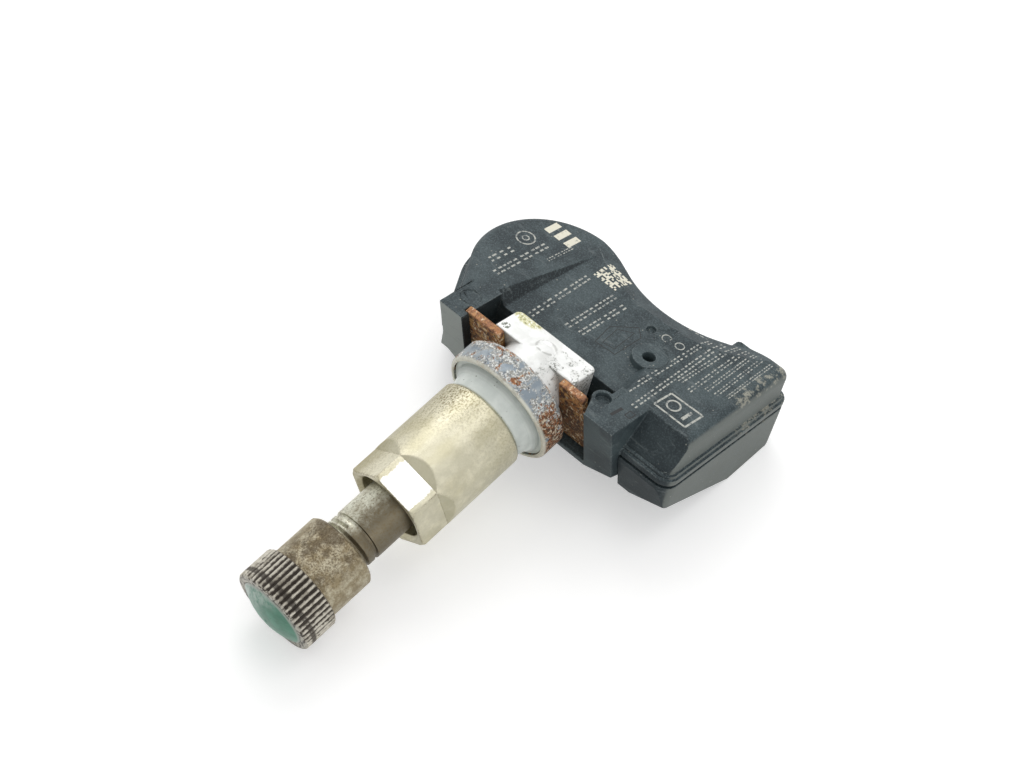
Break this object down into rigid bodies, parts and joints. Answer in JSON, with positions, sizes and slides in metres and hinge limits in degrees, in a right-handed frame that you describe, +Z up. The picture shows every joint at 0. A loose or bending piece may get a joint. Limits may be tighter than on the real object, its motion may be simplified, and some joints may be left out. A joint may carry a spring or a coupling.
{
  "type": "tyre pressure sensor",
  "caption": "Clamp-in tyre pressure sensor: metal valve with seal, collar nut and knurled cap, clipped to a moulded housing with a battery and radio board.",
  "frame": {"origin": "on the axis of the valve, at the seal's front face where it meets the wheel rim", "axes": "+X towards the cap and level with the table that the part lies on, +Y towards the box end of the housing, +Z up from the table; the valve points 9.1 degrees down from +X"},
  "size_m": [0.0768, 0.048, 0.0223],
  "materials": {
    "housing_plastic": "dark grey glass-filled moulding, fine grain, slightly worn",
    "valve_metal": "satin, stained with brown road grime outside",
    "nut_metal": "satin nickel look, pale champagne, speckled and worn",
    "cap_metal": "satin, grooves dark with grime",
    "cup_steel": "zinc plated sheet with white bloom and brown rust patches",
    "clip_steel": "plated sheet, heavily rusted",
    "seal_rubber": "pale grey rubber, smooth",
    "washer_plastic": "white nylon",
    "core_brass": "turned",
    "core_rubber": "black rubber",
    "spring_steel": "bright spring steel",
    "insert_plastic": "teal green, scratched",
    "board_laminate": "green lacquered laminate",
    "cell_steel": "pressed bright steel",
    "chip_resin": "black moulding resin",
    "ferrite": "dark sintered ferrite",
    "copper_wire": "lacquered copper wire"
  },
  "bodies": {
    "sensor_body": {"valve_stem": "valve_metal", "housing": "housing_plastic", "base_tray": "housing_plastic", "retaining_clip": "clip_steel", "seal_cup": "cup_steel", "seal_grommet": "seal_rubber", "core_barrel": "core_brass", "core_seal": "core_rubber", "core_spring": "spring_steel", "circuit_board": "board_laminate", "coin_cell": "cell_steel", "lower_tab": "spring_steel", "upper_tab": "spring_steel", "sensor_package": "chip_resin", "port_seal": "core_rubber", "coil_core": "ferrite", "coil_winding": "copper_wire", "crystal": "cell_steel", "antenna": "spring_steel", "chip_components": "chip_resin"},
    "washer_body": {"nut_washer": "washer_plastic"},
    "nut_body": {"collar_nut": "nut_metal"},
    "gasket_body": {"cap_gasket": "core_rubber"},
    "cap_body": {"cap": "cap_metal", "cap_insert": "insert_plastic"},
    "pin_body": {"core_pin": "core_brass", "core_cup": "core_rubber"}
  },
  "joints": [
    {"name": "nut_travel", "type": "slide", "parent": "sensor_body", "child": "washer_body", "axis": [0.9874, 0, -0.1582], "range_m": [0, 0.0075]},
    {"name": "nut_turn", "type": "hinge", "parent": "washer_body", "child": "nut_body", "pos_m": [0, 0, 0], "axis": [0.9874, 0, -0.1582], "range_deg": [0, 3380]},
    {"name": "cap_travel", "type": "slide", "parent": "sensor_body", "child": "gasket_body", "axis": [0.9874, 0, -0.1582], "range_m": [0, 0.0095]},
    {"name": "cap_turn", "type": "hinge", "parent": "gasket_body", "child": "cap_body", "pos_m": [0, 0, 0], "axis": [0.9874, 0, -0.1582], "range_deg": [0, 4315]},
    {"name": "core_press", "type": "slide", "parent": "sensor_body", "child": "pin_body", "axis": [-0.9874, 0, 0.1582], "range_m": [0, 0.0012], "stiffness_N_per_m": 200, "springref_m": -0.001, "deforming": ["core_spring"]}
  ],
  "couplings": [
    {"joint": "nut_turn", "follows": "nut_travel", "rad_per_m": 7854},
    {"joint": "cap_turn", "follows": "cap_travel", "rad_per_m": 7913.3}
  ]
}
